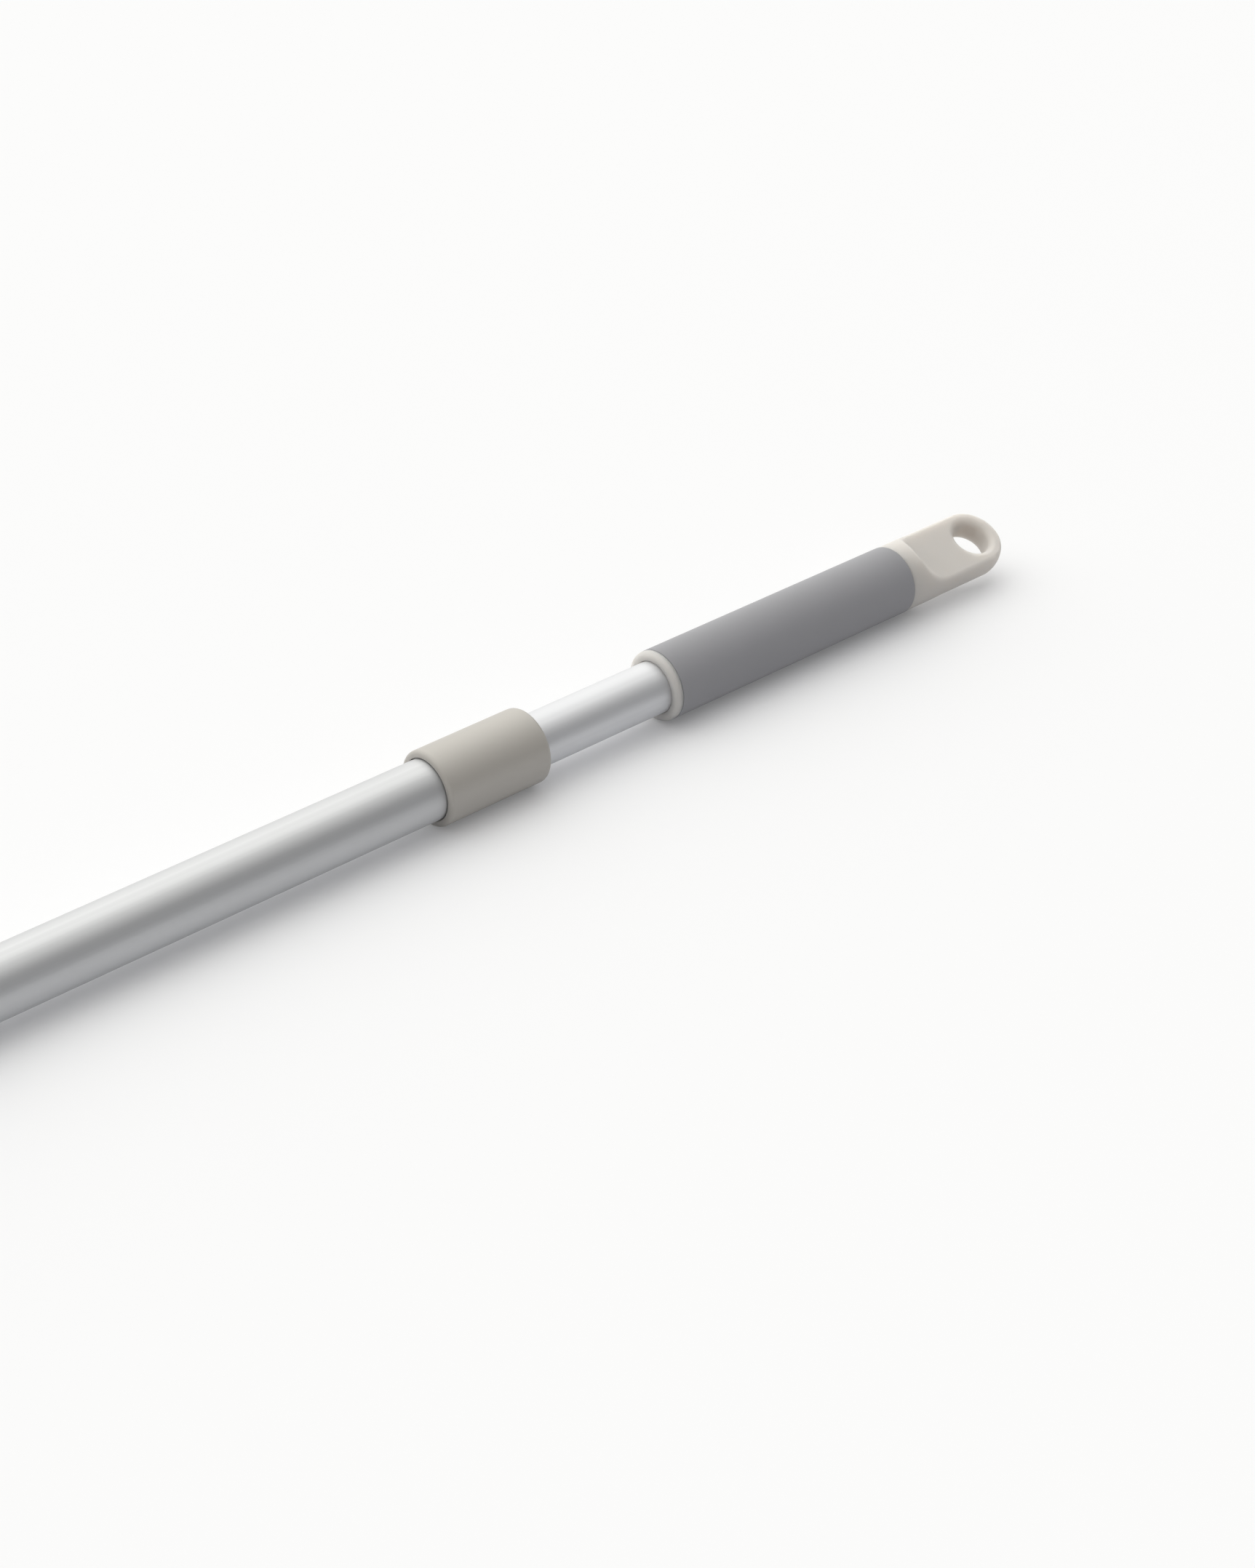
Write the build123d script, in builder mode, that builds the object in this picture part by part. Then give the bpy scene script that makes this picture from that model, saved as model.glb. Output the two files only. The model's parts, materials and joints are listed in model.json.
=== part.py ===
from build123d import *
import os
from math import cos, radians, sin, sqrt

# Telescopic pole for window cleaning: a 25 mm outer tube, a 22 mm inner tube that locks in it
# with an eccentric ring, and a moulded handle with a hang hole.
# Millimetres. +X runs along the pole to the handle's tip, +Z is up as the pole lies on a floor.
# The origin is the centre of the hang hole, on the pole's long axis.

os.makedirs("parts", exist_ok=True)

# ---------------------------------------------------------------- fits and clearances
seat_gap = 0.02  # radial gap of a pressed or bonded seat
running_gap = 0.05  # radial gap of a turning or sliding fit
lock_gap = 0.05  # what is left between cam ring and tube when the lock is tight
face_gap = 0.2  # axial play between a ring and its neighbours
stop_gap = 0.1  # round the lock's flange, which the bush stops
mouth_gap = 0.35  # shadow gap round the thin tube where it leaves the collar

# ---------------------------------------------------------------- tubes
outer_tube_r = 12.5
outer_tube_wall = 1.2
outer_tube_length = 400.0
inner_tube_r = 11.0
inner_tube_wall = 1.0
inner_tube_length = 475.0

# ---------------------------------------------------------------- handle
handle_r = 14.9
handle_length = 202.4
blade_roll = 26.0  # degrees that the blade leans about the pole's axis
blade_thickness = 12.0
blade_edge = 0.7  # bevel along the blade's edges
flat_start = 26.0  # from the hang hole back to where the blade's flat begins
ramp_r = 17.0  # concave run-out from the flat up to the round body
hang_hole_r = 8.4
hang_rim = 1.8  # bevel round the hang hole on both sides
front_ring_width = 3.4
front_ring_bevel = 1.3
grip_r = 15.0
grip_wall = 2.2
handle_end_length = 64.3  # light end of the handle, from the sleeve to the tip
keyway_depth = 0.6
keyway_width = 5.0
keyway_count = 2
tube_seat_setback = 6.1  # solid stretch between the thin tube's seat and the light end
handle_pin_r = 1.5
handle_pin_length = 4.5
handle_pin_setback = 22.0  # from the handle's front face

# ---------------------------------------------------------------- collar
exposed_tube = 66.2  # thin tube that shows between collar and handle
collar_r = 15.6
collar_length = 50.0
collar_front_bevel = 1.8
collar_back_bevel = 1.1
collar_lip = 3.0
wiper_width = 3.0
bush_length = 14.0
bush_corners = 12  # the bush is faceted outside and held by its corners

# ---------------------------------------------------------------- twist lock
eccentricity = 0.5
cam_journal_r = 6.5
cam_ring_width = 14.0
cam_slot = 2.6
cam_groove_count = 20
cam_groove_width = 0.9
cam_groove_depth = 0.5
lock_throw = 90.0  # degrees from free to tight
plug_insert_length = 25.0
plug_flange_width = 3.0
plug_pin_setback = 10.0  # from the thin tube's end
glide_journal_r = 5.2
glide_ring_width = 12.0
glide_ring_corners = 12
thrust_washer_r = 9.8
thrust_washer_thickness = 1.0
retaining_washer_r = 8.0
retaining_washer_thickness = 1.2
screw_r = 2.0
screw_head_r = 3.6
screw_head_height = 2.4
screw_depth = 12.0
screw_drive = 2.5  # hexagon socket across flats
plug_pin_r = 1.5
plug_pin_length = 6.0
pin_recess = 0.3  # how far a cross pin's end lies below the surface

# ---------------------------------------------------------------- tool end
ferrule_length = 24.0
ferrule_overlap = 18.0
spigot_r = 9.5
spigot_length = 58.0
spigot_lead_in = 1.5
spigot_relief = 0.3  # step down round the button, so that its hole's edge can't bind in a tool
land_margin = 2.5  # from the button forward to the full-size stretch that guides a tool
spigot_wall = 2.2
spigot_plug_length = 16.0
ferrule_pin_r = 1.6
ferrule_pin_length = 5.5
button_r = 3.0
button_height = 2.9  # above the spigot
button_travel = 3.0
button_flange_r = 3.8
button_flange_height = 0.8
button_setback = 16.0  # from the ferrule's shoulder
button_bevel = 0.8
spring_width = 6.0
spring_thickness = 0.6
spring_pad = 5.0  # flat stretch of the strip on each side of the button
spring_reach = 32.0  # from the button back to the bend
spring_bend_r = 2.6

# ---------------------------------------------------------------- places along the pole
blade_half = blade_thickness / 2
handle_tip = handle_r
handle_front = handle_tip - handle_length
grip_start = handle_front + front_ring_width
grip_end = handle_tip - handle_end_length
grip_length = grip_end - grip_start
tube_seat_end = grip_end - tube_seat_setback
inner_tube_end = tube_seat_end - inner_tube_length
inner_bore_r = inner_tube_r - inner_tube_wall
outer_bore_r = outer_tube_r - outer_tube_wall
collar_front = handle_front - exposed_tube
collar_back = collar_front - collar_length
wiper_front = collar_front - collar_lip
wiper_back = wiper_front - wiper_width
bush_back = wiper_back - bush_length
outer_tube_front = bush_back
outer_tube_end = outer_tube_front - outer_tube_length
collar_bore_r = outer_tube_r + seat_gap
grip_seat_r = grip_r - grip_wall
handle_pin_x = handle_front + handle_pin_setback
plug_pin_x = inner_tube_end + plug_pin_setback
plug_insert_end = inner_tube_end + plug_insert_length

cam_ring_start = inner_tube_end - plug_flange_width - face_gap
cam_ring_end = cam_ring_start - cam_ring_width
thrust_start = cam_ring_end - face_gap
thrust_end = thrust_start - thrust_washer_thickness
glide_start = thrust_end - face_gap
glide_end = glide_start - glide_ring_width
journal_end = glide_end - face_gap
washer_end = journal_end - retaining_washer_thickness
# The cam ring's outside is centred on the pole while free and moves off by this when tight.
lock_shift = 2 * eccentricity * sin(radians(lock_throw) / 2)
cam_ring_r = outer_bore_r - lock_gap - lock_shift

shoulder = outer_tube_end + ferrule_overlap - ferrule_length
spigot_tip = shoulder - spigot_length
button_x = shoulder - button_setback
ferrule_mouth = outer_tube_end + ferrule_overlap
land_start = spigot_tip + spigot_lead_in
land_end = button_x - button_r - land_margin
spigot_bore_r = spigot_r - spigot_wall
ferrule_pin_x = outer_tube_end + ferrule_overlap / 2
ferrule_pin_end = collar_r - pin_recess
# The button's flange is held by the round bore, and the strip spring lies on its floor.
flange_top_z = sqrt(spigot_bore_r**2 - button_flange_r**2) - running_gap
flange_bottom_z = flange_top_z - button_flange_height
strip_floor_z = -sqrt(spigot_bore_r**2 - (spring_width / 2) ** 2) + running_gap

# The blade's own planes: seen square on its flat, and seen from its edge.
lean = radians(blade_roll)
blade_normal = (0, -sin(lean), cos(lean))
blade_side = (0, -cos(lean), -sin(lean))
blade_plan = Plane(origin=(0, 0, 0), x_dir=(1, 0, 0), z_dir=blade_normal)
blade_profile = Plane(origin=(0, 0, 0), x_dir=(1, 0, 0), z_dir=blade_side)
blade_section = Plane(origin=(0, 0, 0), x_dir=blade_normal, z_dir=(1, 0, 0))


def bar(start, end, radius, mode=Mode.ADD, offset=(0, 0)):
    """Round bar along the pole between two stations."""
    with BuildSketch(Plane.YZ.offset(start)) as section:
        with Locations(offset):
            Circle(radius)
    return extrude(section.sketch, amount=end - start, mode=mode)


def tube(start, end, outer, inner):
    """Tube along the pole between two stations."""
    with BuildSketch(Plane.YZ.offset(start)) as section:
        Circle(outer)
        Circle(inner, mode=Mode.SUBTRACT)
    return extrude(section.sketch, amount=end - start)


def cross_bar(station, radius, start, end, plane=Plane.XY, mode=Mode.ADD):
    """Round bar square across the pole, between two distances from its axis."""
    with BuildSketch(plane.offset(start)) as section:
        with Locations((station, 0)):
            Circle(radius)
    return extrude(section.sketch, amount=end - start, mode=mode)


def outer_rim(part, station):
    """Largest circular edge of a part at one station along the pole."""
    circles = part.edges().filter_by(GeomType.CIRCLE)
    at_station = circles.filter_by_position(Axis.X, station - seat_gap, station + seat_gap)
    return at_station.sort_by(SortBy.RADIUS)[-1]


def save(part, name):
    """Label a finished piece and write its file."""
    part.label = name
    export_step(part, f"parts/{name}.step")


# ---------------------------------------------------------------- handle_core
with BuildPart() as handle_core:
    # Turned form: front ring, sleeve seat and round body.
    with BuildSketch(blade_plan):
        with BuildLine():
            Polyline(
                (handle_front, 0),
                (handle_front, handle_r),
                (grip_start, handle_r),
                (grip_start, grip_seat_r),
                (grip_end, grip_seat_r),
                (grip_end, handle_r),
                (0, handle_r),
                (0, 0),
                close=True,
            )
        make_face()
    revolve(axis=Axis.X)
    # The end is half a ball, turned about the line square to the blade's flats.
    with BuildSketch(blade_section):
        with BuildLine():
            CenterArc((0, 0), handle_r, 0, 180)
            Line((-handle_r, 0), (handle_r, 0))
        make_face()
    revolve(axis=Axis((0, 0, 0), blade_normal), revolution_arc=180)
    chamfer(outer_rim(handle_core, handle_front), front_ring_bevel)
    # Keyways along the seat stop the sleeve from turning.
    with BuildSketch(blade_section.offset(grip_start)):
        with PolarLocations(grip_seat_r, keyway_count, start_angle=90):
            Rectangle(2 * keyway_depth, keyway_width)
    extrude(amount=grip_length, mode=Mode.SUBTRACT)
    # Seat of the thin tube.
    bar(handle_front, tube_seat_end, inner_tube_r + seat_gap, mode=Mode.SUBTRACT)
    cross_bar(handle_pin_x, handle_pin_r + seat_gap, 0, handle_r, blade_plan, Mode.SUBTRACT)
    # Both sides of the end are cut flat, with a concave run-out up to the round body.
    with BuildSketch(blade_profile):
        with BuildLine():
            Line((handle_tip, blade_half), (-flat_start, blade_half))
            CenterArc((-flat_start, blade_half + ramp_r), ramp_r, 180, 90)
            Polyline(
                (-flat_start - ramp_r, blade_half + ramp_r),
                (handle_tip, blade_half + ramp_r),
                (handle_tip, blade_half),
            )
        make_face()
        mirror(about=Plane.XZ)
    extrude(amount=handle_r, both=True, mode=Mode.SUBTRACT)
    chamfer(handle_core.edges(Select.LAST), blade_edge)
    # The hang hole goes through the flats, with a bevelled rim on both sides.
    cross_bar(0, hang_hole_r, -blade_thickness, blade_thickness, blade_plan, Mode.SUBTRACT)
    chamfer(handle_core.edges(Select.LAST).filter_by(GeomType.CIRCLE), hang_rim)
save(handle_core.part, "handle_core")

# ---------------------------------------------------------------- grip_sleeve
with BuildPart() as grip_sleeve:
    # Moulded over the core: its inside follows the seat and fills the keyways.
    with BuildSketch(blade_section.offset(grip_start)):
        Circle(grip_r)
        Circle(grip_seat_r + seat_gap, mode=Mode.SUBTRACT)
        with PolarLocations(grip_seat_r + seat_gap, keyway_count, start_angle=90):
            Rectangle(2 * keyway_depth, keyway_width - 2 * seat_gap)
    extrude(amount=grip_length)
save(grip_sleeve.part, "grip_sleeve")

# ---------------------------------------------------------------- upper_tube
with BuildPart() as upper_tube:
    tube(inner_tube_end, tube_seat_end, inner_tube_r, inner_bore_r)
    cross_bar(handle_pin_x, handle_pin_r + seat_gap, 0, inner_tube_r, blade_plan, Mode.SUBTRACT)
    cross_bar(plug_pin_x, plug_pin_r + seat_gap, 0, inner_tube_r, mode=Mode.SUBTRACT)
save(upper_tube.part, "upper_tube")

# ---------------------------------------------------------------- handle_pin
with BuildPart() as handle_pin:
    pin_end = grip_seat_r - pin_recess
    cross_bar(handle_pin_x, handle_pin_r, pin_end - handle_pin_length, pin_end, blade_plan)
save(handle_pin.part, "handle_pin")

# ---------------------------------------------------------------- lock_plug
with BuildPart() as lock_plug:
    # Insert, stop flange, eccentric journal for the cam ring, plain journal for the glide ring.
    bar(inner_tube_end, plug_insert_end, inner_bore_r - seat_gap)
    bar(cam_ring_start + face_gap, inner_tube_end, outer_bore_r - stop_gap)
    bar(thrust_start, cam_ring_start + face_gap, cam_journal_r, offset=(0, eccentricity))
    bar(journal_end, thrust_start, glide_journal_r)
    bar(journal_end, journal_end + screw_depth, screw_r + seat_gap, mode=Mode.SUBTRACT)
    plug_pin_end = inner_tube_r - pin_recess
    plug_pin_start = plug_pin_end - plug_pin_length
    cross_bar(
        plug_pin_x,
        plug_pin_r + seat_gap,
        plug_pin_start - seat_gap,
        inner_bore_r,
        mode=Mode.SUBTRACT,
    )
save(lock_plug.part, "lock_plug")

# ---------------------------------------------------------------- plug_pin
with BuildPart() as plug_pin:
    cross_bar(plug_pin_x, plug_pin_r, plug_pin_start, plug_pin_end)
save(plug_pin.part, "plug_pin")

# ---------------------------------------------------------------- cam_ring
with BuildPart() as cam_ring:
    # Split ring: its bore is as far off its outside as the journal is off the pole, so the
    # ring is centred while the lock is free and moves sideways when the handle turns.
    with BuildSketch(Plane.YZ.offset(cam_ring_end)):
        Circle(cam_ring_r)
        with Locations((0, eccentricity)):
            Circle(cam_journal_r + running_gap, mode=Mode.SUBTRACT)
        with PolarLocations(cam_ring_r, cam_groove_count, start_angle=90):
            Rectangle(2 * cam_groove_depth, cam_groove_width, mode=Mode.SUBTRACT)
        with Locations((0, cam_ring_r)):
            Rectangle(cam_slot, cam_ring_r, mode=Mode.SUBTRACT)
    extrude(amount=cam_ring_width)
save(cam_ring.part, "cam_ring")

# ---------------------------------------------------------------- thrust_washer
with BuildPart() as thrust_washer:
    tube(thrust_end, thrust_start, thrust_washer_r, glide_journal_r + running_gap)
save(thrust_washer.part, "thrust_washer")

# ---------------------------------------------------------------- glide_ring
with BuildPart() as glide_ring:
    # Faceted outside: its corners run on the outer tube's bore.
    with BuildSketch(Plane.YZ.offset(glide_end)):
        RegularPolygon(outer_bore_r - running_gap, glide_ring_corners)
        Circle(glide_journal_r + running_gap, mode=Mode.SUBTRACT)
    extrude(amount=glide_ring_width)
save(glide_ring.part, "glide_ring")

# ---------------------------------------------------------------- retaining_washer
with BuildPart() as retaining_washer:
    tube(washer_end, journal_end, retaining_washer_r, screw_r + running_gap)
save(retaining_washer.part, "retaining_washer")

# ---------------------------------------------------------------- lock_screw
with BuildPart() as lock_screw:
    bar(washer_end - screw_head_height, washer_end, screw_head_r)
    bar(washer_end, journal_end + screw_depth - face_gap, screw_r)
    with BuildSketch(Plane.YZ.offset(washer_end - screw_head_height)):
        RegularPolygon(screw_drive / 2, 6, major_radius=False)
    extrude(amount=screw_head_height / 2, mode=Mode.SUBTRACT)
save(lock_screw.part, "lock_screw")

# ---------------------------------------------------------------- lower_tube
with BuildPart() as lower_tube:
    tube(outer_tube_end, outer_tube_front, outer_tube_r, outer_bore_r)
    pin_hole_r = ferrule_pin_r + seat_gap
    cross_bar(ferrule_pin_x, pin_hole_r, -collar_r, collar_r, Plane.XZ, Mode.SUBTRACT)
save(lower_tube.part, "lower_tube")

# ---------------------------------------------------------------- lock_collar
with BuildPart() as lock_collar:
    bar(collar_back, collar_front, collar_r)
    chamfer(outer_rim(lock_collar, collar_front), collar_front_bevel)
    chamfer(outer_rim(lock_collar, collar_back), collar_back_bevel)
    bar(collar_back, wiper_front, collar_bore_r, mode=Mode.SUBTRACT)
    bar(wiper_front, collar_front, inner_tube_r + mouth_gap, mode=Mode.SUBTRACT)
save(lock_collar.part, "lock_collar")

# ---------------------------------------------------------------- guide_bush
with BuildPart() as guide_bush:
    with BuildSketch(Plane.YZ.offset(bush_back)):
        RegularPolygon(outer_tube_r, bush_corners)
        Circle(inner_tube_r + running_gap, mode=Mode.SUBTRACT)
    extrude(amount=bush_length)
save(guide_bush.part, "guide_bush")

# ---------------------------------------------------------------- wiper_ring
with BuildPart() as wiper_ring:
    tube(wiper_back, wiper_front, outer_tube_r, inner_tube_r + running_gap)
save(wiper_ring.part, "wiper_ring")

# ---------------------------------------------------------------- tool_ferrule
with BuildPart() as tool_ferrule:
    # Ferrule over the tube, and the hollow spigot that a tool slides on.
    with BuildSketch(Plane.XZ):
        with BuildLine():
            Polyline(
                (spigot_tip, spigot_bore_r),
                (spigot_tip, spigot_r - spigot_lead_in),
                (land_start, spigot_r),
                (land_end, spigot_r),
                (land_end, spigot_r - spigot_relief),
                (shoulder, spigot_r - spigot_relief),
                (shoulder, collar_r),
                (ferrule_mouth, collar_r),
                (ferrule_mouth, collar_bore_r),
                (outer_tube_end, collar_bore_r),
                (outer_tube_end, spigot_bore_r),
                close=True,
            )
        make_face()
    revolve(axis=Axis.X)
    chamfer(outer_rim(tool_ferrule, shoulder), collar_front_bevel)
    cross_bar(button_x, button_r + running_gap, 0, spigot_r, mode=Mode.SUBTRACT)
    cross_bar(ferrule_pin_x, pin_hole_r, -collar_r, collar_r, Plane.XZ, Mode.SUBTRACT)
save(tool_ferrule.part, "tool_ferrule")

# ---------------------------------------------------------------- spigot_plug
with BuildPart() as spigot_plug:
    bar(spigot_tip, spigot_tip + spigot_plug_length, spigot_bore_r - seat_gap)
save(spigot_plug.part, "spigot_plug")

# ---------------------------------------------------------------- ferrule_pins
with BuildPart() as ferrule_pins:
    cross_bar(
        ferrule_pin_x,
        ferrule_pin_r,
        ferrule_pin_end - ferrule_pin_length,
        ferrule_pin_end,
        Plane.XZ,
    )
    mirror(about=Plane.XZ)
save(ferrule_pins.part, "ferrule_pins")

# ---------------------------------------------------------------- latch_spring
with BuildPart() as latch_spring:
    # Bent strip: one leg lies on the spigot's bore, the other carries the button.
    upper_z = flange_bottom_z - spring_thickness / 2
    lower_z = strip_floor_z + spring_thickness / 2
    bend_x = button_x + spring_reach
    with BuildSketch(Plane.XZ):
        with BuildLine():
            FilletPolyline(
                (button_x - spring_pad, upper_z),
                (button_x + spring_pad, upper_z),
                (bend_x, spring_bend_r),
                (bend_x, -spring_bend_r),
                (button_x + spring_pad, lower_z),
                (button_x - spring_pad, lower_z),
                radius=spring_bend_r,
            )
            offset(amount=spring_thickness / 2, side=Side.BOTH)
        make_face()
    extrude(amount=spring_width / 2, both=True)
save(latch_spring.part, "latch_spring")

# ---------------------------------------------------------------- latch_button
with BuildPart() as latch_button:
    # The flange is trapped between the strip spring and the spigot's bore.
    cross_bar(button_x, button_flange_r, flange_bottom_z, flange_top_z)
    cross_bar(button_x, button_r, flange_top_z, spigot_r + button_height)
    chamfer(latch_button.edges().group_by(Axis.Z)[-1], button_bevel)
save(latch_button.part, "latch_button")
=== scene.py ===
"""Looks of a telescopic window cleaning pole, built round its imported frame.

All lengths are metres in the frame's own axes: +X runs along the pole to the handle's tip, +Z is
up, and the origin is the centre of the hang hole.
"""

import json
import logging
from dataclasses import dataclass, field
from enum import Enum
from math import copysign, cos, hypot, inf, pi, radians, sin, sqrt
from typing import Optional, Union

import bmesh
import bpy
from mathutils import Matrix, Vector


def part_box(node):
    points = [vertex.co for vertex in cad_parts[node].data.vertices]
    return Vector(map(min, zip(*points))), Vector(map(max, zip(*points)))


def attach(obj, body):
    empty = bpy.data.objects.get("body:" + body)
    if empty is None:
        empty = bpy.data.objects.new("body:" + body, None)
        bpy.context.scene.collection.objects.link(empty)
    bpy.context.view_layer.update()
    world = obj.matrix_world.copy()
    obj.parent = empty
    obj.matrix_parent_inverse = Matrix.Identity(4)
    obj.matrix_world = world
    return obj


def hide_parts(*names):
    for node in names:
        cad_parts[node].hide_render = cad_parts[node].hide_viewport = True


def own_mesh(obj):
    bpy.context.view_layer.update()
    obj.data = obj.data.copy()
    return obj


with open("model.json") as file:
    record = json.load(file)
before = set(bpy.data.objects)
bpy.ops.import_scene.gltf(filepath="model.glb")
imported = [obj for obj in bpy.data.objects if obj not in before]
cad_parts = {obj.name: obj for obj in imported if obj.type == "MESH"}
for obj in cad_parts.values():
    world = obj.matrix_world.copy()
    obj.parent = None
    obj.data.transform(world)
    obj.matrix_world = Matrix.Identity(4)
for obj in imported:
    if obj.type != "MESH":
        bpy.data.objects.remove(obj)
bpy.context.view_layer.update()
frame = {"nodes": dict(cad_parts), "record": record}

LOG = logging.getLogger("pole")
MM = 0.001
POLE_AXIS = Vector((1.0, 0.0, 0.0))
ACROSS = Vector((0.0, 1.0, 0.0))
UP = Vector((0.0, 0.0, 1.0))
ORIGIN = Vector((0.0, 0.0, 0.0))
RIGHT_ANGLE = 90.0
HALF_TURN = 180.0
MERGE_DISTANCE = 1e-7
SHARP_ANGLE = radians(38.0)
TURN_STEPS = 192
SMALL_TURN_STEPS = 96
LEAST_ROUND_STEPS = 4
ROUND_STEP = 0.2 * MM
CUT_MARGIN = 2.0 * MM
SCREEN_FULL = 255.0
SCREEN_TOE = 0.04045
SCREEN_TOE_SLOPE = 12.92
SCREEN_OFFSET = 0.055
SCREEN_POWER = 2.4

Color = tuple[float, float, float]
Corner = tuple[float, float, float]
Range = tuple[float, float]
Node = bpy.types.Node
Socket = bpy.types.NodeSocket
Material = bpy.types.Material
Form = bmesh.types.BMesh
Piece = bpy.types.Object


class Body(Enum):
    """Bodies that the finer pieces move with."""

    UPPER = "upper_pole"
    LOWER = "lower_pole"
    BUTTON = "latch_button"


class Slot(Enum):
    """Material slots of the record."""

    HANDLE = "handle_plastic"
    COLLAR = "collar_plastic"
    GRIP = "grip_rubber"
    OUTER_TUBE = "outer_tube_aluminium"
    INNER_TUBE = "inner_tube_aluminium"
    STEEL = "steel"
    LOCK = "lock_plastic"
    CAM = "cam_plastic"
    FELT = "felt"


class Effect(Enum):
    """Shader node groups that several finishes share."""

    GRAIN = "moulded_grain"
    TONE = "tone_drift"
    DRAWN = "drawn_lines"
    RUBBED = "rubbed_edges"
    SPECKS = "fine_specks"


def from_screen(red: int, green: int, blue: int) -> Color:
    """Turn a screen colour into the linear values that a shader takes.

    Args:
        red: Red from 0 to 255.
        green: Green from 0 to 255.
        blue: Blue from 0 to 255.

    Returns:
        The same colour as three linear values from 0 to 1.
    """

    def linear(value: int) -> float:
        """Undo the screen's curve for one channel."""
        share = value / SCREEN_FULL
        if share <= SCREEN_TOE:
            return share / SCREEN_TOE_SLOPE
        return ((share + SCREEN_OFFSET) / (1.0 + SCREEN_OFFSET)) ** SCREEN_POWER

    return linear(red), linear(green), linear(blue)


# ---------------------------------------------------------------- node trees
@dataclass
class Wiring:
    """Adds nodes to one tree and joins their sockets."""

    tree: bpy.types.NodeTree

    def add(self, kind: str, settings: Optional[dict] = None, **inputs: object) -> Node:
        """Add one node.

        Args:
            kind: The node's type name.
            settings: The node's own properties.
            inputs: Values or sockets by input name, with _ for a space.

        Returns:
            The new node.
        """
        node = self.tree.nodes.new(kind)
        for key, value in (settings or {}).items():
            setattr(node, key, value)
        self.fill(node, **inputs)
        return node

    def fill(self, node: Node, **inputs: object) -> None:
        """Feed values or sockets to a node's inputs, named with _ for a space."""
        for key, value in inputs.items():
            self.feed(node.inputs[key.replace("_", " ")], value)

    def feed(self, socket: Socket, value: object) -> None:
        """Join a socket to an input, or set the input's value.

        Args:
            socket: The input.
            value: An output socket, or a value.
        """
        if isinstance(value, Socket):
            self.tree.links.new(value, socket)
        else:
            socket.default_value = value

    def math(self, operation: str, *values: object) -> Socket:
        """Add a Math node and return its output."""
        node = self.add("ShaderNodeMath", {"operation": operation})
        for socket, value in zip(node.inputs, values):
            self.feed(socket, value)
        return node.outputs[0]

    def vector(self, operation: str, first: object, second: object) -> Socket:
        """Add a Vector Math node and return its output."""
        node = self.add("ShaderNodeVectorMath", {"operation": operation})
        self.feed(node.inputs[0], first)
        self.feed(node.inputs["Scale" if operation == "SCALE" else 1], second)
        return node.outputs[0]

    def remap(
        self, value: Socket, source: tuple, target: Range = (0.0, 1.0), smooth: bool = False
    ) -> Socket:
        """Map a value from one range to another.

        Args:
            value: The output to map.
            source: The range that it comes in, as numbers or sockets.
            target: The range that it leaves in.
            smooth: Whether it eases in and out.

        Returns:
            The mapped output.
        """
        kind = "SMOOTHSTEP" if smooth else "LINEAR"
        node = self.add(
            "ShaderNodeMapRange",
            {"interpolation_type": kind},
            Value=value,
            From_Min=source[0],
            From_Max=source[1],
            To_Min=target[0],
            To_Max=target[1],
        )
        return node.outputs["Result"]

    def blend(self, share: object, first: object, second: object) -> Socket:
        """Mix two colours.

        Args:
            share: How much of the second colour shows.
            first: The colour at a share of 0.
            second: The colour at a share of 1.

        Returns:
            The mixed colour's output.
        """
        node = self.add("ShaderNodeMix", {"data_type": "RGBA"})
        self.feed(node.inputs[0], share)
        self.feed(node.inputs[6], first)
        self.feed(node.inputs[7], second)
        return node.outputs[2]

    def place(self, stretch: Optional[Socket] = None) -> Socket:
        """Give the piece's own coordinates, stretched by a vector if one is given."""
        here = self.add("ShaderNodeTexCoord").outputs["Object"]
        return here if stretch is None else self.vector("MULTIPLY", here, stretch)

    def noise(self, place: Socket, scale: object, detail: float) -> Socket:
        """Add noise over the given coordinates and return its value."""
        node = self.add("ShaderNodeTexNoise", Vector=place, Scale=scale, Detail=detail)
        return node.outputs["Fac"]


def empty_tree(owner: Union[Material, bpy.types.World]) -> Wiring:
    """Empty the node tree of a material or world and give its wiring."""
    owner.use_nodes = True
    owner.node_tree.nodes.clear()
    return Wiring(owner.node_tree)


def open_color(color: Color) -> tuple[float, float, float, float]:
    """Add full opacity to a colour."""
    return (*color, 1.0)


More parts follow.
